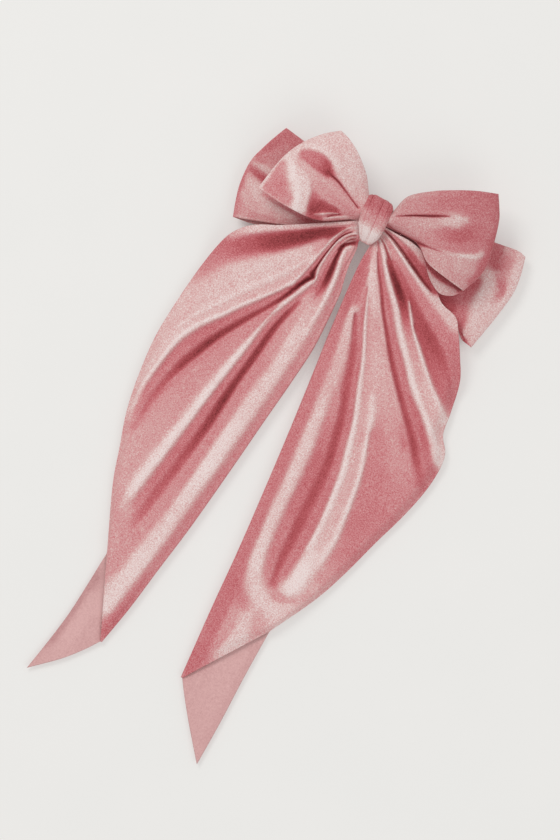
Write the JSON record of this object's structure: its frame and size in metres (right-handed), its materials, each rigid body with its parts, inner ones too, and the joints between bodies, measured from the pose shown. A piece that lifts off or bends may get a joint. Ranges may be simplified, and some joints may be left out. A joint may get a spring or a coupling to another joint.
{
  "type": "bow barrette",
  "caption": "Velvet bow hair barrette with two loop layers, a knot band and two long folded tails, on a hinged spring clip with a squeeze catch.",
  "frame": {"origin": "on the flat underside of the clasp arm, straight below the centre of the knot", "axes": "+X along the clip to its catch end, +Y to the top of the bow (the tails lead to -Y), +Z out of the front of the bow"},
  "size_m": [0.1768, 0.36, 0.0346],
  "materials": {
    "velvet": "satin",
    "thread": "matte",
    "clip_steel": "polished",
    "spring_steel": "satin"
  },
  "bodies": {
    "bow_and_plate": {"base_plate": "clip_steel", "hinge_pin": "clip_steel", "catch_plate": "clip_steel", "catch_rivet": "clip_steel", "rear_bow": "velvet", "tail_root": "velvet", "front_bow": "velvet", "gather_thread": "thread", "knot_band": "velvet", "band_stitches": "thread", "tack_stitches": "thread"},
    "clasp_arm": {"clasp_arm": "clip_steel", "spring_rivet": "clip_steel"},
    "tension_spring": {"tension_spring": "spring_steel"},
    "catch_wing_upper": {"catch_wing_upper": "clip_steel"},
    "catch_wing_lower": {"catch_wing_lower": "clip_steel"},
    "left_tail": {"left_tail": "velvet"},
    "right_tail": {"right_tail": "velvet"}
  },
  "joints": [
    {"name": "clasp_hinge", "type": "hinge", "parent": "bow_and_plate", "child": "clasp_arm", "pos_m": [-0.0384, 0, 0.0015], "axis": [0, 1, 0], "range_deg": [0, 75]},
    {"name": "spring_flex", "type": "hinge", "parent": "clasp_arm", "child": "tension_spring", "pos_m": [-0.0292, 0, 0.0009], "axis": [0, 1, 0], "range_deg": [0, 0.9]},
    {"name": "wing_squeeze_upper", "type": "hinge", "parent": "bow_and_plate", "child": "catch_wing_upper", "pos_m": [0.0358, 0.0021, 0.0057], "axis": [-1, 0, 0], "range_deg": [0, 6]},
    {"name": "wing_squeeze_lower", "type": "hinge", "parent": "bow_and_plate", "child": "catch_wing_lower", "pos_m": [0.0358, -0.0021, 0.0057], "axis": [1, 0, 0], "range_deg": [0, 6]},
    {"name": "left_tail_lift", "type": "hinge", "parent": "bow_and_plate", "child": "left_tail", "pos_m": [-0.03, -0.02015, 0.0172], "axis": [-1, 0, 0], "range_deg": [0, 75]},
    {"name": "right_tail_lift", "type": "hinge", "parent": "bow_and_plate", "child": "right_tail", "pos_m": [0.035, -0.02015, 0.0172], "axis": [-1, 0, 0], "range_deg": [0, 75]}
  ],
  "couplings": [
    {"joint": "wing_squeeze_lower", "follows": "wing_squeeze_upper", "ratio": 1}
  ]
}
